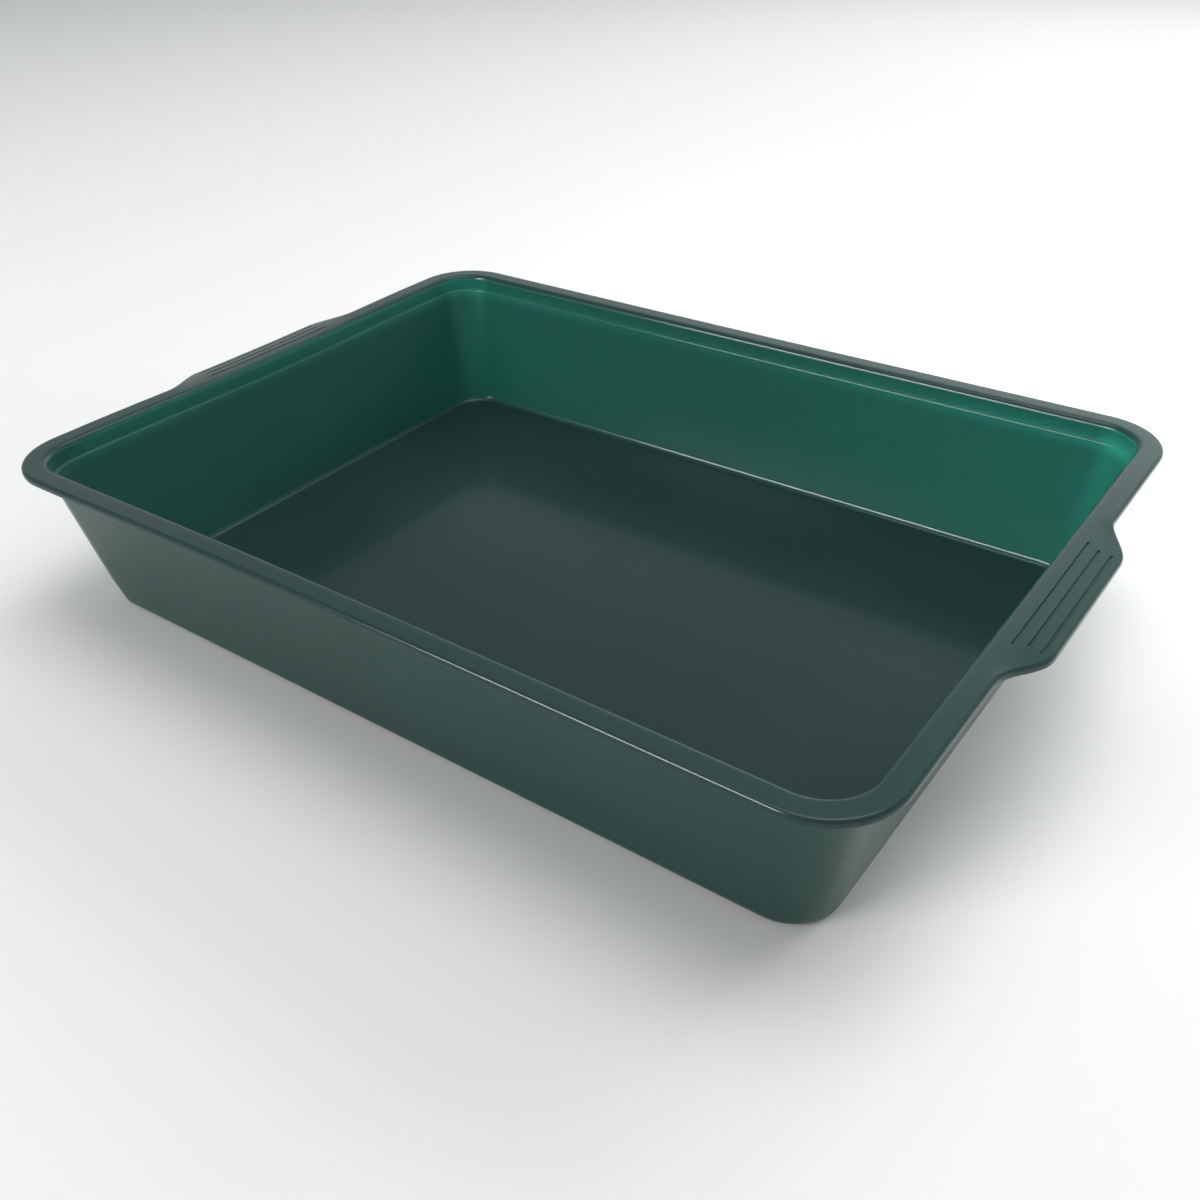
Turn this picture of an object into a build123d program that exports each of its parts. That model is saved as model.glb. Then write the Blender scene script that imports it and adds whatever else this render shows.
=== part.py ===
# Flat-bottomed roller tray: one injection moulding of polypropylene.
# Millimetres. X runs along the tray, +Z is up, and the origin is the centre of the underside.
from build123d import *
import os

# Rim: a flat flange all round, its outer edge turned down as a short lip
rim_length = 480.0
rim_width = 355.0
tray_height = 84.0
rim_corner_radius = 34.0
flange_width = 12.5
flange_thickness = 2.2
lip_height = 3.6
lip_thickness = 2.0
rim_top_radius = 1.6
rim_inner_radius = 3.0

# Walls: an upright collar under the flange, a narrow ledge, then a sloping wall down to the base
wall_thickness = 2.0
collar_height = 9.0
collar_lean = 0.4
ledge_width = 1.5
base_length = 428.0
base_width = 306.0
base_corner_radius = 22.0
base_edge_radius = 4.6
floor_thickness = 2.2
floor_fillet = 3.6

# Grip tabs: the flange reaches out at the middle of both short ends
grip_reach = 12.0
grip_root_length = 138.0
grip_outer_length = 100.0
grip_root_radius = 14.0
grip_corner_radius = 28.0

# Finger grooves across the top of each grip: distance out from the rim's edge, and length
grooves = [(-4.5, 90.0), (1.1, 86.0), (6.7, 76.0)]
groove_width = 1.6
groove_depth = 0.9

# Mould gate: a shallow round recess at the middle of the underside, with the gate's stub in it
gate_recess_radius = 6.0
gate_recess_depth = 0.6
gate_stub_radius = 1.6
gate_stub_height = 0.35

# Sizes that follow from the ones above
ledge_height = tray_height - collar_height
collar_length = rim_length - 2 * flange_width
collar_width = rim_width - 2 * flange_width
collar_radius = rim_corner_radius - flange_width


def outline(size, height):
    # A rounded rectangle (length, width, corner radius) lying at a height
    length, width, radius = size
    return Plane.XY.offset(height) * RectangleRounded(length, width, radius)


def grown(size, amount):
    # The same rounded rectangle with every side moved out by an amount
    length, width, radius = size
    return (length + 2 * amount, width + 2 * amount, radius + amount)


def frustum(low_size, low_height, high_size, high_height):
    # The solid between two rounded rectangles at two heights
    return loft([outline(low_size, low_height), outline(high_size, high_height)], ruled=True)


collar_top = (collar_length, collar_width, collar_radius)
collar_foot = grown(collar_top, -collar_lean)
wall_top = grown(collar_foot, -ledge_width)
base = (base_length, base_width, base_corner_radius)


def make_outer_body():
    # The tray's outside below the flange, as a solid block
    step = ledge_height - wall_thickness
    wall = frustum(base, 0, grown(wall_top, wall_thickness), step)
    wall = fillet(wall.edges().group_by(Axis.Z)[0], base_edge_radius)
    collar_size = grown(collar_top, wall_thickness)
    collar = frustum(grown(collar_foot, wall_thickness), step, collar_size, tray_height - lip_height / 2)
    return wall + collar


def make_well():
    # The space that the tray holds, up past the rim
    floor = grown(base, -wall_thickness)
    wall = frustum(floor, floor_thickness, wall_top, ledge_height)
    wall = fillet(wall.edges().group_by(Axis.Z)[0], floor_fillet)
    collar = frustum(collar_foot, ledge_height, collar_top, tray_height)
    return wall + collar


def make_rim_face():
    # The flange's outline with both grip tabs: one quarter's corners, mirrored round
    half_length = rim_length / 2
    grip_end = half_length + grip_reach
    quarter = [(grip_end, grip_outer_length / 2, grip_corner_radius),
               (half_length, grip_root_length / 2, grip_root_radius),
               (half_length, rim_width / 2, rim_corner_radius)]
    half = quarter + [(-x, y, radius) for x, y, radius in reversed(quarter)]
    whole = half + [(x, -y, radius) for x, y, radius in reversed(half)]
    points = [(x, y) for x, y, radius in whole]
    radii = [radius for x, y, radius in whole]
    return make_face(FilletPolyline(*points, radius=radii, close=True))


def make_flange():
    # The rim plate, rounded on its outer top edge and hollowed underneath inside the lip
    face = Plane.XY.offset(tray_height - lip_height) * make_rim_face()
    plate = extrude(face, lip_height)
    plate = fillet(plate.edges().group_by(Axis.Z)[-1], rim_top_radius)
    inside = offset(face, -lip_thickness, kind=Kind.ARC)
    hollow = extrude(inside, lip_height - flange_thickness)
    return plate - hollow


def make_grooves():
    # The cutters for the finger grooves of both grips
    cutters = []
    for out, length in grooves:
        slot = SlotOverall(length, groove_width, rotation=90)
        for side in (-1, 1):
            place = Pos(side * (rim_length / 2 + out), 0, tray_height - groove_depth)
            cutters.append(place * extrude(slot, 2 * groove_depth))
    return cutters


def make_gate_recess():
    recess = extrude(Circle(gate_recess_radius), gate_recess_depth)
    stub = Pos(0, 0, gate_recess_depth - gate_stub_height) * extrude(Circle(gate_stub_radius), gate_stub_height)
    return recess - stub


def is_rim_mouth(edge):
    # The edge where the flange's top turns down into the well
    middle = edge @ 0.5
    inside = abs(middle.X) < collar_length / 2 + 0.1 and abs(middle.Y) < collar_width / 2 + 0.1
    return inside and abs(middle.Z - tray_height) < 0.01


def make_tray():
    tray = make_flange() + make_outer_body()
    tray -= make_well()
    tray = fillet(tray.edges().filter_by(is_rim_mouth), rim_inner_radius)
    for cutter in make_grooves():
        tray -= cutter
    return tray - make_gate_recess()


os.makedirs("parts", exist_ok=True)
tray = make_tray()
tray.label = "tray_moulding"
print("tray_moulding volume", round(tray.volume), "solids", len(tray.solids()))
export_step(tray, "parts/tray_moulding.step")
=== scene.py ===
import bpy
import bmesh
from math import cos, degrees, radians, sin
from mathutils import Matrix, Vector


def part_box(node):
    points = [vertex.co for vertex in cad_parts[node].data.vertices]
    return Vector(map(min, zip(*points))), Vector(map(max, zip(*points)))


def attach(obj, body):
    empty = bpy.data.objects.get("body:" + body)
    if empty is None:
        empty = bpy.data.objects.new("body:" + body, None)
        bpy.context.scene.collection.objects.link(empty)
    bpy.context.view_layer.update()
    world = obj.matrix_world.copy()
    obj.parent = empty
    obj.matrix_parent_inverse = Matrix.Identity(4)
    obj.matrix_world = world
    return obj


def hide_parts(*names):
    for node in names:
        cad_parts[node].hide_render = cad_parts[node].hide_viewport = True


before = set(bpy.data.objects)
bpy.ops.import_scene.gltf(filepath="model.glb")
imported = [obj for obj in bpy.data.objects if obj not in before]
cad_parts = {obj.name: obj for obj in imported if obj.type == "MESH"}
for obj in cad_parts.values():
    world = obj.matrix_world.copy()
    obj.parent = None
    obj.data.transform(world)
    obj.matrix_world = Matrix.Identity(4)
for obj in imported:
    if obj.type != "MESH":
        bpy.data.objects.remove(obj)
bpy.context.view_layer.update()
trayLow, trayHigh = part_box("tray_moulding")
mm = 0.001
print("frame loaded, tray", [round(side / mm, 1) for side in trayHigh - trayLow], "mm")

# Camera, floor and light
camera = {
    "place": (341.5 * mm, -451.0 * mm, 368.4 * mm),  # from the middle of the underside
    "turn": 36.71,      # degrees round from straight on
    "tilt": 33.72,      # degrees down
    "roll": -1.575,     # degrees, the camera is held a little out of level
    "lens": 37.43,      # millimetres, as lenses are sold
    "sensor": 36.0,
    "nearest": 10 * mm,     # nothing closer than this is drawn
}

bpy.ops.object.camera_add(location=camera["place"])
cameraObject = bpy.context.object
cameraObject.name = "camera"
cameraTurn = Matrix.Rotation(radians(camera["turn"]), 4, "Z")
cameraTilt = Matrix.Rotation(radians(90 - camera["tilt"]), 4, "X")
cameraRoll = Matrix.Rotation(radians(camera["roll"]), 4, "Z")
cameraObject.matrix_world = Matrix.Translation(camera["place"]) @ cameraTurn @ cameraTilt @ cameraRoll
cameraObject.data.lens = camera["lens"]
cameraObject.data.sensor_width = camera["sensor"]
cameraObject.data.clip_start = camera["nearest"]
bpy.context.scene.camera = cameraObject
bpy.context.scene.view_settings.view_transform = "Standard"


def toLinear(hexColour):
    # a colour written as the screen shows it, as the numbers that light works with
    channels = [int(hexColour[i:i + 2], 16) / 255 for i in (1, 3, 5)]
    linear = [c / 12.92 if c <= 0.04045 else ((c + 0.055) / 1.055) ** 2.4 for c in channels]
    return (*linear, 1.0)


def addNode(tree, kind, settings=None, links=None):
    # a node with its own settings, its input values, and the outputs that feed it
    node = tree.nodes.new(kind)
    for name, value in (settings or {}).items():
        if isinstance(name, str) and hasattr(node, name):
            setattr(node, name, value)
        else:
            node.inputs[name].default_value = value
    for name, output in (links or {}).items():
        tree.links.new(output, node.inputs[name])
    return node


studio = {
    "floorSize": 12.0,
    "floorDrop": 0.3 * mm,      # keeps the floor clear of the underside
    "floorColour": "#e8e8e6",
    "floorRoughness": 0.9,
    "floorSpecular": 0.1,
    "skyLow": "#ffffff",        # the pale walls of the room, near the horizon
    "skyHigh": "#aeb4b8",       # the dimmer ceiling
    "skyEdges": (0.41, 0.60),   # sines of the heights where the pale walls end and the ceiling starts
    "frontDim": 0.32,           # the side of the room behind the camera is darker
    "frontEdges": (-0.9, 0.2),  # and brightens between these, where -1 is behind and 1 is ahead
    "endDim": 0.6,              # both its ends are dimmer too
    "endEdges": (0.0, 0.62),    # and dim between these, where 1 is the end itself
    "endShift": 0.1,            # the brightest place lies this far to the left
    "skyStrength": 1.55,
}

bpy.ops.mesh.primitive_plane_add(size=studio["floorSize"], location=(0, 0, -studio["floorDrop"]))
floor = bpy.context.object
floor.name = "studio_floor"
floorMaterial = bpy.data.materials.new("pale_paper_sweep")
floorMaterial.use_nodes = True
floorShader = floorMaterial.node_tree.nodes["Principled BSDF"]
floorShader.inputs["Base Color"].default_value = toLinear(studio["floorColour"])
floorShader.inputs["Roughness"].default_value = studio["floorRoughness"]
floorShader.inputs["Specular IOR Level"].default_value = studio["floorSpecular"]
floor.data.materials.append(floorMaterial)

# The room is pale round the sides, dimmer overhead and dimmer behind the camera
world = bpy.data.worlds.new("soft_room")
bpy.context.scene.world = world
world.use_nodes = True
sky = world.node_tree
sky.nodes.clear()
skyWay = addNode(sky, "ShaderNodeTexCoord")
skyParts = addNode(sky, "ShaderNodeSeparateXYZ", links={0: skyWay.outputs["Generated"]})
skyRamp = addNode(sky, "ShaderNodeValToRGB", links={0: skyParts.outputs["Z"]})
for stop, place, colour in zip(skyRamp.color_ramp.elements, studio["skyEdges"], ("skyLow", "skyHigh")):
    stop.position = place
    stop.color = toLinear(studio[colour])
frontStart, frontEnd = studio["frontEdges"]
skyFront = addNode(sky, "ShaderNodeMapRange",
                   {1: frontStart, 2: frontEnd, 3: studio["frontDim"], 4: 1.0},
                   {0: skyParts.outputs["Y"]})
skyAway = addNode(sky, "ShaderNodeMath", {"operation": "ADD", 1: studio["endShift"]},
                  {0: skyParts.outputs["X"]})
skyAside = addNode(sky, "ShaderNodeMath", {"operation": "ABSOLUTE"}, {0: skyAway.outputs[0]})
endStart, endEnd = studio["endEdges"]
skyEnds = addNode(sky, "ShaderNodeMapRange",
                  {"interpolation_type": "SMOOTHSTEP", 1: endStart, 2: endEnd,
                   3: studio["skyStrength"], 4: studio["endDim"]},
                  {0: skyAside.outputs[0]})
skyStrength = addNode(sky, "ShaderNodeMath", {"operation": "MULTIPLY"},
                      {0: skyFront.outputs[0], 1: skyEnds.outputs[0]})
skyLight = addNode(sky, "ShaderNodeBackground", links={"Color": skyRamp.outputs["Color"],
                                                       "Strength": skyStrength.outputs[0]})
addNode(sky, "ShaderNodeOutputWorld", links={"Surface": skyLight.outputs[0]})


# Flat soft lights, each facing the tray: place and size in metres, power in watts, and whether the
# tray is lit by it and mirrors its shape
softboxes = {
    "window_light": {"place": (-0.8, -1.95, 0.95), "size": (1.1, 0.32), "power": 25, "lights": True,
                     "mirrored": True},
    "window_glint": {"place": (-0.8, -1.75, 1.35), "size": (1.1, 0.3), "power": 45, "lights": False,
                     "mirrored": True},
    "top_light": {"place": (0.2, 0.4, 2.5), "size": (1.8, 1.8), "power": 27, "lights": True,
                  "mirrored": True},
    "back_light": {"place": (0.42, 0.62, 0.22), "size": (0.5, 0.2), "power": 3.2, "lights": True,
                   "mirrored": False},
    "sweep_light": {"place": (0.3, 1.9, 1.3), "size": (1.6, 0.8), "power": 18, "lights": True,
                    "mirrored": False},
}

for name, softbox in softboxes.items():
    bpy.ops.object.light_add(type="AREA", location=softbox["place"])
    lamp = bpy.context.object
    lamp.name = name
    lamp.rotation_euler = Vector(softbox["place"]).to_track_quat("Z", "Y").to_euler()
    lamp.data.shape = "RECTANGLE"
    lamp.data.size, lamp.data.size_y = softbox["size"]
    lamp.data.energy = softbox["power"]
    lamp.visible_diffuse = softbox["lights"]
    lamp.visible_glossy = softbox["mirrored"]
print("camera, floor and", len(softboxes), "lights made")

# Tray shell: one moulding, drawn as outlines from the floor inside, over the rim and down to the base
shell = {
    "gripReach": 12.0 * mm,
    "cornerRadius": 34.0 * mm,      # rim, seen from above
    "rimRadius": 1.7 * mm,          # outer top edge of the flange
    "lipHeight": 3.6 * mm,
    "lipThickness": 2.0 * mm,
    "lipRadius": 0.6 * mm,
    "flangeThickness": 2.2 * mm,
    "flangeWidth": 12.5 * mm,
    "mouthRadius": 3.0 * mm,        # where the flange rolls down into the well
    "collarDepth": 9.0 * mm,
    "collarLean": 0.4 * mm,
    "ledgeWidth": 1.5 * mm,
    "ledgeOuterRadius": 1.1 * mm,
    "ledgeInnerRadius": 0.35 * mm,
    "wall": 2.0 * mm,
    "draft": 0.05 * mm,             # the slight slope that lets level faces leave the mould
    "floorThickness": 2.2 * mm,
    "floorFillet": 3.6 * mm,
    "baseHalf": (214.0 * mm, 153.0 * mm),
    "baseCorner": 22.0 * mm,
    "baseRadius": 4.6 * mm,
    "wallLean": radians(10),        # from upright, near enough for both pairs of walls
    "wallFoot": 0.07,               # where a wall's straight rows start, as part of its height
    "wallReach": 0.92,              # and how much of the outside's height they cover
    "halfTurn": 0.3,                # how far in a small roll's middle lies, as part of its radius
    "underParts": (0.3, 0.6, 0.9),  # rows across the flange's underside
    "underCorner": 0.6 * mm,        # where the flange's underside meets the collar
    "ledgeCorner": 0.5 * mm,        # and the ledge meets the collar and the wall, on the outside
    "ledgeSlant": 0.3 * mm,
    "cornerCuts": 14,               # pieces in each round corner
    "endCuts": 96,                  # cuts across each short end, about 3 mm apart
    "sideCuts": 48,
    "wallRows": 6,
    "arcRows": 4,
    "smoothUpTo": radians(35),      # sharper bends than this keep a crisp edge
}

rimHalfX = trayHigh.x - shell["gripReach"]
rimHalfY = trayHigh.y
rimTop = trayHigh.z
ledgeTop = rimTop - shell["collarDepth"]


def pick(mode, test):
    # selects the vertices, edges or faces whose middle passes a test, and nothing else
    bpy.ops.mesh.select_mode(type=mode)
    bpy.ops.mesh.select_all(action="DESELECT")
    edited = bmesh.from_edit_mesh(bpy.context.object.data)
    items = {"VERT": edited.verts, "EDGE": edited.edges, "FACE": edited.faces}[mode]
    for item in items:
        points = [item.co] if mode == "VERT" else [vertex.co for vertex in item.verts]
        middle = sum(points, Vector()) / len(points)
        if test(middle, item):
            item.select_set(True)
    edited.select_flush_mode()
    bmesh.update_edit_mesh(bpy.context.object.data)


def facesUp(face):
    return face.normal.z > 0.9


outlines = []
onAxis = 1 * mm     # how near the middle line the middle of a straight side is


def drawOutline(halfX, halfY, corner, height, pull=0.0, drop=0.0):
    # one closed line round the tray: a plane with its corners rounded and its face taken out
    bpy.ops.object.select_all(action="DESELECT")
    bpy.ops.mesh.primitive_plane_add(size=2)
    outline = bpy.context.object
    bpy.ops.object.mode_set(mode="EDIT")
    bpy.ops.transform.resize(value=(halfX, halfY, 1))
    bpy.ops.transform.translate(value=(0, 0, height))
    bpy.ops.mesh.bevel(offset_type="OFFSET", offset=corner, segments=shell["cornerCuts"],
                       profile=0.5, affect="VERTICES", clamp_overlap=False)
    bpy.ops.mesh.select_all(action="SELECT")
    bpy.ops.mesh.delete(type="ONLY_FACE")
    pick("EDGE", lambda middle, edge: edge.calc_length() > corner and abs(middle.y) < onAxis)
    bpy.ops.mesh.subdivide(number_cuts=shell["endCuts"])
    pick("EDGE", lambda middle, edge: edge.calc_length() > corner and abs(middle.x) < onAxis)
    bpy.ops.mesh.subdivide(number_cuts=shell["sideCuts"])
    if pull:
        pullGrip(pull, drop)
    bpy.ops.mesh.select_all(action="SELECT")
    bpy.ops.object.mode_set(mode="OBJECT")
    group = outline.vertex_groups.new(name=f"outline{len(outlines):02d}")
    group.add(range(len(outline.data.vertices)), 1.0, "REPLACE")
    outlines.append(outline)


grip = {
    "middle": 44.0 * mm,    # half the length that is pulled out in full
    "blend": 29.0 * mm,     # how far the pull fades along the rim
    "reach": shell["gripReach"],
    "droop": 2.3 * mm,      # the outer edge hangs a little lower than the rim
}

grooves = {
    "starts": (-4.4, 1.2, 6.8),     # mm out from the rim's edge
    "width": 1.4,
    "halfLengths": (45.0, 44.0, 42.0),
    "steps": ((0.08, 0.04), (0.12, 0.35), (0.20, 0.45)),   # mm in, mm down
}


def pullGrip(pull, drop):
    # both ends of one outline drawn out to a grip, fading smoothly along the rim
    for side in (-1, 1):
        pick("VERT", lambda middle, vertex: middle.x * side > 0 and abs(middle.y) < grip["middle"])
        bpy.ops.transform.translate(value=(side * pull, 0, -drop), use_proportional_edit=True,
                                    proportional_edit_falloff="SMOOTH", proportional_size=grip["blend"])


def drawInset(inset, height, pull=0.0):
    # an outline that keeps one distance inside the rim's edge
    drop = grip["droop"] * (pull / grip["reach"]) ** 2
    drawOutline(rimHalfX - inset, rimHalfY - inset, shell["cornerRadius"] - inset, height, pull, drop)


def fractions(count):
    return [step / count for step in range(count + 1)]


def wallSize(low, high, part):
    # half length, half width and corner radius part of the way up a sloping wall
    return [a + (b - a) * part for a, b in zip(low, high)]


def drawFoot(half, corner, radius, height, order):
    # outlines round the roll between a level bottom and a sloping wall
    back = radius * (1 - sin(shell["wallLean"])) / cos(shell["wallLean"])
    top = 90 - degrees(shell["wallLean"])
    for part in order(fractions(shell["arcRows"] + 1)):
        angle = radians(top * part)
        out = radius * sin(angle) - back
        drawOutline(half[0] + out, half[1] + out, corner + out, height + radius * (1 - cos(angle)))


# Inside, from the floor up to the ledge
wallTopInset = shell["flangeWidth"] + shell["collarLean"] + shell["ledgeWidth"]
innerHalf = [side - shell["wall"] for side in shell["baseHalf"]]
innerCorner = shell["baseCorner"] - shell["wall"]
drawFoot(innerHalf, innerCorner, shell["floorFillet"], shell["floorThickness"], list)
innerLow = (*innerHalf, innerCorner)
innerHigh = (rimHalfX - wallTopInset, rimHalfY - wallTopInset, shell["cornerRadius"] - wallTopInset)
wallHeight = ledgeTop - shell["floorThickness"]
wallFoot = shell["wallFoot"]
for part in fractions(shell["wallRows"])[1:]:
    climb = wallFoot + (1 - shell["ledgeOuterRadius"] / wallHeight - wallFoot) * part
    drawOutline(*wallSize(innerLow, innerHigh, climb), shell["floorThickness"] + wallHeight * climb)

# The ledge, the collar above it and the roll on to the flange
edge = shell["ledgeOuterRadius"]
for part in fractions(shell["arcRows"])[1:]:
    angle = radians(90 * part)
    drawInset(wallTopInset - edge + edge * cos(angle), ledgeTop - edge + edge * sin(angle))
collarFoot = shell["flangeWidth"] + shell["collarLean"]
corner = shell["ledgeInnerRadius"]
for part in fractions(2)[1:]:
    angle = radians(90 * part)
    drawInset(collarFoot + corner - corner * sin(angle), ledgeTop + corner - corner * cos(angle))
drawInset(shell["flangeWidth"] + shell["collarLean"] / 2, ledgeTop + shell["collarDepth"] / 3)
mouth = shell["mouthRadius"]
for part in fractions(shell["arcRows"]):
    angle = radians(90 * part)
    drawInset(shell["flangeWidth"] - mouth + mouth * cos(angle), rimTop - mouth + mouth * sin(angle))

# The flange's flat top: a row at each side of each groove, reaching further out where the grips are
reach = grip["reach"]
rowStart = shell["flangeWidth"] - mouth
rowEnd = shell["rimRadius"]
stretch = 1 + reach / (rowStart - rowEnd)
for start in grooves["starts"]:
    for out in (start * mm, (start + grooves["width"]) * mm):
        inset = (reach * rowStart / (rowStart - rowEnd) - out) / stretch
        drawInset(inset, rimTop, out + inset)

# Round the rim's outer edge, down the lip and back under the flange
rimRadius = shell["rimRadius"]
for part in fractions(shell["arcRows"]):
    angle = radians(90 * part)
    drawInset(rimRadius - rimRadius * sin(angle), rimTop - rimRadius + rimRadius * cos(angle), reach)
lipFoot = rimTop - shell["lipHeight"]
lipRadius = shell["lipRadius"]
lipBack = shell["lipThickness"]
underside = rimTop - shell["flangeThickness"]
draft = shell["draft"]
lipTurn = lipRadius * shell["halfTurn"]
for inset, height in ((0, lipFoot + lipRadius),
                      (lipTurn, lipFoot + lipTurn),
                      (lipRadius, lipFoot),
                      (lipBack - lipRadius, lipFoot + draft),
                      (lipBack - lipTurn, lipFoot + lipTurn),
                      (lipBack, underside)):
    drawInset(inset, height, reach)
collarBack = shell["flangeWidth"] - shell["wall"]
for part in shell["underParts"]:
    drawInset(lipBack + (collarBack - lipBack) * part, underside, reach * (1 - part))
lean = shell["collarLean"]
outerTop = ledgeTop - shell["wall"]
ledgeBack = wallTopInset - shell["wall"]
for inset, height in ((collarBack, underside - shell["underCorner"]),
                      (collarBack + lean / 2, (underside + outerTop) / 2),
                      (collarBack + lean, outerTop + shell["ledgeCorner"]),
                      (collarBack + lean * 2, outerTop),
                      (ledgeBack - shell["ledgeSlant"], outerTop - draft),
                      (ledgeBack, outerTop - shell["ledgeCorner"])):
    drawInset(inset, height)

# Outside, from the ledge down to the underside
outerHigh = [side + shell["wall"] for side in innerHigh]
outerLow = (*shell["baseHalf"], shell["baseCorner"])
for part in fractions(shell["wallRows"])[:0:-1]:
    climb = wallFoot + shell["wallReach"] * (part - 1 / shell["wallRows"])
    drawOutline(*wallSize(outerLow, outerHigh, climb), outerTop * climb)
drawFoot(shell["baseHalf"], shell["baseCorner"], shell["baseRadius"], 0, reversed)
print("outlines drawn:", len(outlines))

# Join the outlines and bridge each one to the next
bpy.ops.object.select_all(action="DESELECT")
for outline in outlines:
    outline.select_set(True)
bpy.context.view_layer.objects.active = outlines[0]
outlineCount = len(outlines)
bpy.ops.object.join()
tray = bpy.context.object
tray.name = "tray_shell"
tray.data.name = "tray_shell"
bpy.ops.object.mode_set(mode="EDIT")
bpy.ops.mesh.select_mode(type="VERT")


def selectOutlines(*numbers):
    bpy.ops.mesh.select_all(action="DESELECT")
    for number in numbers:
        tray.vertex_groups.active_index = tray.vertex_groups[f"outline{number:02d}"].index
        bpy.ops.object.vertex_group_select()


for number in range(outlineCount - 1):
    selectOutlines(number, number + 1)
    bpy.ops.mesh.bridge_edge_loops()
for number in (0, outlineCount - 1):
    selectOutlines(number)
    bpy.ops.mesh.edge_face_add()
bpy.ops.mesh.select_all(action="SELECT")
bpy.ops.mesh.normals_make_consistent(inside=False)
print("shell bridged:", len(tray.data.vertices), "vertices")

# Finger grooves: strips of the flange's top sunk in steps, so that their edges are soft
def isGroove(middle, face):
    out = (abs(middle.x) - rimHalfX) / mm
    for start, half in zip(grooves["starts"], grooves["halfLengths"]):
        if start < out < start + grooves["width"] and abs(middle.y) < half * mm:
            return facesUp(face) and middle.z > rimTop - shell["lipHeight"]
    return False


pick("FACE", isGroove)
for inward, down in grooves["steps"]:
    bpy.ops.mesh.inset(thickness=inward * mm, depth=-down * mm, use_even_offset=True)
bpy.ops.object.mode_set(mode="OBJECT")
tray.vertex_groups.clear()

# Mould gate: a shallow round recess under the middle, with the gate's stub standing in it
gate = {
    "radius": 6.0 * mm,
    "depth": 0.6 * mm,
    "stubRadius": 1.6 * mm,
    "stubHeight": 0.35 * mm,
    "stubSlope": 0.15 * mm,
    "sides": 64,
}
bpy.ops.object.select_all(action="DESELECT")
bpy.ops.mesh.primitive_cylinder_add(vertices=gate["sides"], radius=gate["radius"],
                                    depth=2 * gate["depth"])
cutter = bpy.context.object
bpy.ops.object.mode_set(mode="EDIT")
pick("FACE", lambda middle, face: facesUp(face))
bpy.ops.mesh.inset(thickness=gate["radius"] - gate["stubRadius"])
bpy.ops.mesh.inset(thickness=gate["stubSlope"], depth=-gate["stubHeight"])
bpy.ops.object.mode_set(mode="OBJECT")
cut = tray.modifiers.new("gate", "BOOLEAN")
cut.operation = "DIFFERENCE"
cut.object = cutter
bpy.context.view_layer.objects.active = tray
bpy.ops.object.modifier_apply(modifier="gate")
bpy.data.objects.remove(cutter)

# Nothing moulded this thin is quite straight. Each warp shifts a patch of the flange: the patch's
# place, where 0 is the middle and 1 the rim, then its shift and how far that spreads, in mm
stillHeight = 7 * mm    # the base stays flat up to here
patchInset = 8 * mm     # the middle of a patch, in from the rim's edge
patchRadius = 9 * mm
warps = {
    "near left corner": ((-1, -1), (-2.2, -0.6, -0.9), 150),
    "left end": ((-1, 0), (0.5, 0.0, -1.3), 120),
    "right end": ((1, 0), (0.0, 1.6, -0.8), 120),
    "right grip": ((1.09, -0.335), (-1.6, -0.3, 0.0), 14),
    "near side": ((0, -1), (0.0, 1.0, 0.0), 235),
    "far side": ((0, 1), (0.0, -1.0, 0.0), 235),
}
bpy.ops.object.select_all(action="DESELECT")
tray.select_set(True)
bpy.ops.object.mode_set(mode="EDIT")
pick("VERT", lambda middle, vertex: middle.z < stillHeight)
bpy.ops.mesh.hide()
for (alongX, alongY), shift, spread in warps.values():
    aim = Vector((alongX * (rimHalfX - patchInset), alongY * (rimHalfY - patchInset), rimTop))
    pick("VERT", lambda middle, vertex: (middle - aim).length < patchRadius)
    bpy.ops.transform.translate(value=[part * mm for part in shift], use_proportional_edit=True,
                                proportional_edit_falloff="SMOOTH", proportional_size=spread * mm)
bpy.ops.mesh.reveal(select=False)
bpy.ops.object.mode_set(mode="OBJECT")
bpy.ops.object.shade_smooth_by_angle(angle=shell["smoothUpTo"])
# Broad faces keep level shading up to their edges
evenShading = tray.modifiers.new("even_shading", "WEIGHTED_NORMAL")
evenShading.keep_sharp = True
bpy.ops.object.modifier_apply(modifier="even_shading")
print("grooves, gate and warp done:", len(tray.data.vertices), "vertices")

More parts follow.
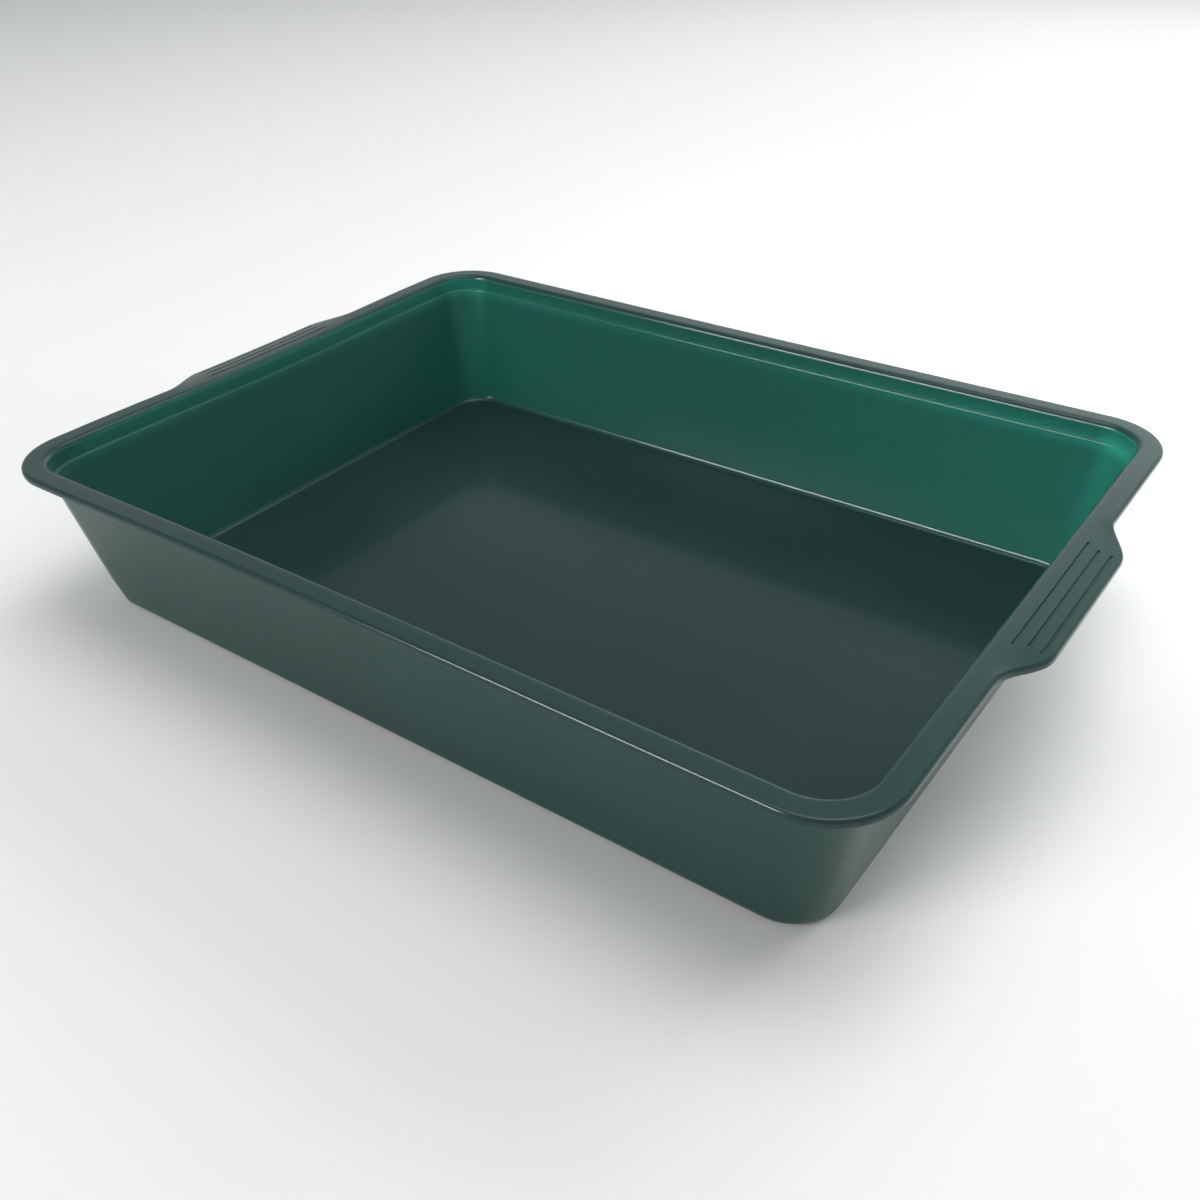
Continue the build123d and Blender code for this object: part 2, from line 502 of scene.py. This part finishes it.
# Plastic
plastic = {
    "dark": "#223534",
    "light": "#273e3c",
    "ior": 1.49,
    "specular": 0.16,           # a satin skin mirrors less than a polished one
    "roughness": 0.22,
    "roughnessSpread": 0.05,
    "coat": 0.19,               # the mould's polish, seen as fine bright lines on the rolled edges
    "coatRoughness": 0.09,
    "glow": "#78e4d0",          # what the pigment lets through
    "wallGlow": 0.053,          # share of the light that goes on through the thin walls
    "collarGlowPaintedLight": 0.11,         # the collar lets through more than the wall: the wall's own glow, raised as painted light
    "rimGlowPaintedShade": 0.02,            # the rim and its lip let through less, as painted shade
    "collarRise": (68.0 * mm, 75.0 * mm),       # heights between which the share rises from the wall's to the collar's
    "rimRise": (81.9 * mm, 82.9 * mm),          # heights between which the share falls from the collar's to the rim's
    "rimStart": (1.5 * mm, 3.5 * mm),           # and how far outside the collar it does so
    "nearEdges": (-152.0 * mm, -132.0 * mm),    # the near wall lets little light through, as painted shade; it is drawn no thicker than the others
    "nearPaintedShade": 0.3,
    "endEdges": (0.0, 230.0 * mm),              # more light goes through towards both ends, as painted light
    "endPaintedLight": 1.3,
    "cornerEdges": (347.0 * mm, 355.0 * mm),    # and more at the corners, as painted light; half length plus half width
    "cornerPaintedLight": 1.5,
    "cornerLean": 0.263,                        # and how much that sum grows with height
    "cloudSize": 110.0 * mm,                    # slow changes in the pigment
    "cloudDetail": 3.0,
    "peelSize": 2.2 * mm,                       # the moulded skin's grain, coarse enough to show
    "peelDetail": 2.0,
    "peelDepth": 0.012 * mm,
    "waveSize": 70.0 * mm,                      # sink and flow, as broad shallow waves
    "waveDetail": 1.0,
    "waveDepth": 0.10 * mm,
}


def fade(tree, value, edges, low, high):
    # moves smoothly from one number to another while a value passes between two edges
    node = addNode(tree, "ShaderNodeMapRange",
                   {"interpolation_type": "SMOOTHSTEP", 1: edges[0], 2: edges[1], 3: low, 4: high},
                   {0: value})
    return node.outputs[0]


def combine(tree, operation, first, second):
    return addNode(tree, "ShaderNodeMath", {"operation": operation}, {0: first, 1: second}).outputs[0]


def shareThrough(tree, place):
    # how much of the light goes on through the wall at each place: a plain share for the thin walls,
    # with painted light and painted shade set by place on top
    parts = addNode(tree, "ShaderNodeSeparateXYZ", links={0: place}).outputs
    height = parts["Z"]
    across = parts["Y"]
    away = addNode(tree, "ShaderNodeVectorMath", {"operation": "ABSOLUTE"}, {0: place}).outputs[0]
    collarHalf = (rimHalfX - shell["flangeWidth"], rimHalfY - shell["flangeWidth"], 0)
    outside = addNode(tree, "ShaderNodeVectorMath", {"operation": "SUBTRACT", 1: collarHalf}, {0: away})
    sides = addNode(tree, "ShaderNodeSeparateXYZ", links={0: outside.outputs[0]})
    furthest = combine(tree, "MAXIMUM", sides.outputs["X"], sides.outputs["Y"])
    # painted shade on the rim and its lip, painted light on the collar
    rim = combine(tree, "MAXIMUM", fade(tree, height, plastic["rimRise"], 0, 1),
                  fade(tree, furthest, plastic["rimStart"], 0, 1))
    wall = fade(tree, height, plastic["collarRise"], plastic["wallGlow"], plastic["collarGlowPaintedLight"])
    share = addNode(tree, "ShaderNodeMapRange", {4: plastic["rimGlowPaintedShade"]}, {0: rim, 3: wall}).outputs[0]
    # painted shade: the near wall lets through less than the rest
    near = fade(tree, across, plastic["nearEdges"], plastic["nearPaintedShade"], 1)
    along = addNode(tree, "ShaderNodeSeparateXYZ", links={0: away}).outputs["X"]
    # painted light: the ends let more through
    ends = fade(tree, along, plastic["endEdges"], 1, plastic["endPaintedLight"])
    # painted light: the corners let more through, more so higher up
    lean = (1.0, 1.0, -plastic["cornerLean"])
    reached = addNode(tree, "ShaderNodeVectorMath", {"operation": "DOT_PRODUCT", 1: lean}, {0: away})
    corners = fade(tree, reached.outputs["Value"], plastic["cornerEdges"], 1, plastic["cornerPaintedLight"])
    for factor in (near, ends, corners):
        share = combine(tree, "MULTIPLY", share, factor)
    return share


def makePlastic():
    # Moulded polypropylene with a dark green pigment: a satin skin, thin enough for the walls
    # to glow where light comes through them
    material = bpy.data.materials.new("moulded_green_polypropylene")
    material.use_nodes = True
    tree = material.node_tree
    tree.nodes.clear()
    place = addNode(tree, "ShaderNodeTexCoord").outputs["Object"]
    cloud = addNode(tree, "ShaderNodeTexNoise",
                    {"Scale": 1 / plastic["cloudSize"], "Detail": plastic["cloudDetail"]},
                    {"Vector": place})
    colour = addNode(tree, "ShaderNodeMix", {"data_type": "RGBA", 6: toLinear(plastic["dark"]),
                                             7: toLinear(plastic["light"])},
                     {0: cloud.outputs["Fac"]})
    peel = addNode(tree, "ShaderNodeTexNoise",
                   {"Scale": 1 / plastic["peelSize"], "Detail": plastic["peelDetail"]},
                   {"Vector": place})
    wave = addNode(tree, "ShaderNodeTexNoise",
                   {"Scale": 1 / plastic["waveSize"], "Detail": plastic["waveDetail"]},
                   {"Vector": place})
    half = plastic["roughnessSpread"] / 2
    gloss = addNode(tree, "ShaderNodeMapRange",
                    {3: plastic["roughness"] - half, 4: plastic["roughness"] + half},
                    {0: cloud.outputs["Fac"]})
    waveBump = addNode(tree, "ShaderNodeBump", {"Distance": plastic["waveDepth"], "Strength": 1.0},
                       {"Height": wave.outputs["Fac"]})
    peelBump = addNode(tree, "ShaderNodeBump", {"Distance": plastic["peelDepth"], "Strength": 1.0},
                       {"Height": peel.outputs["Fac"], "Normal": waveBump.outputs["Normal"]})
    skin = addNode(tree, "ShaderNodeBsdfPrincipled",
                   {"IOR": plastic["ior"], "Specular IOR Level": plastic["specular"],
                    "Coat Weight": plastic["coat"], "Coat Roughness": plastic["coatRoughness"]},
                   {"Base Color": colour.outputs[2], "Roughness": gloss.outputs[0],
                    "Normal": peelBump.outputs["Normal"]})
    glow = addNode(tree, "ShaderNodeBsdfTranslucent", {"Color": toLinear(plastic["glow"])})
    # Light already inside the wall goes out of its far face freely, so only one face holds it back
    side = addNode(tree, "ShaderNodeNewGeometry").outputs["Backfacing"]
    # how much goes through holds painted light and painted shade, set by place
    through = combine(tree, "MAXIMUM", shareThrough(tree, place), side)
    both = addNode(tree, "ShaderNodeMixShader",
                   links={0: through, 1: skin.outputs[0], 2: glow.outputs[0]})
    addNode(tree, "ShaderNodeOutputMaterial", links={"Surface": both.outputs[0]})
    return material


tray.data.materials.clear()
tray.data.materials.append(makePlastic())
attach(tray, "root")
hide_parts("tray_moulding")
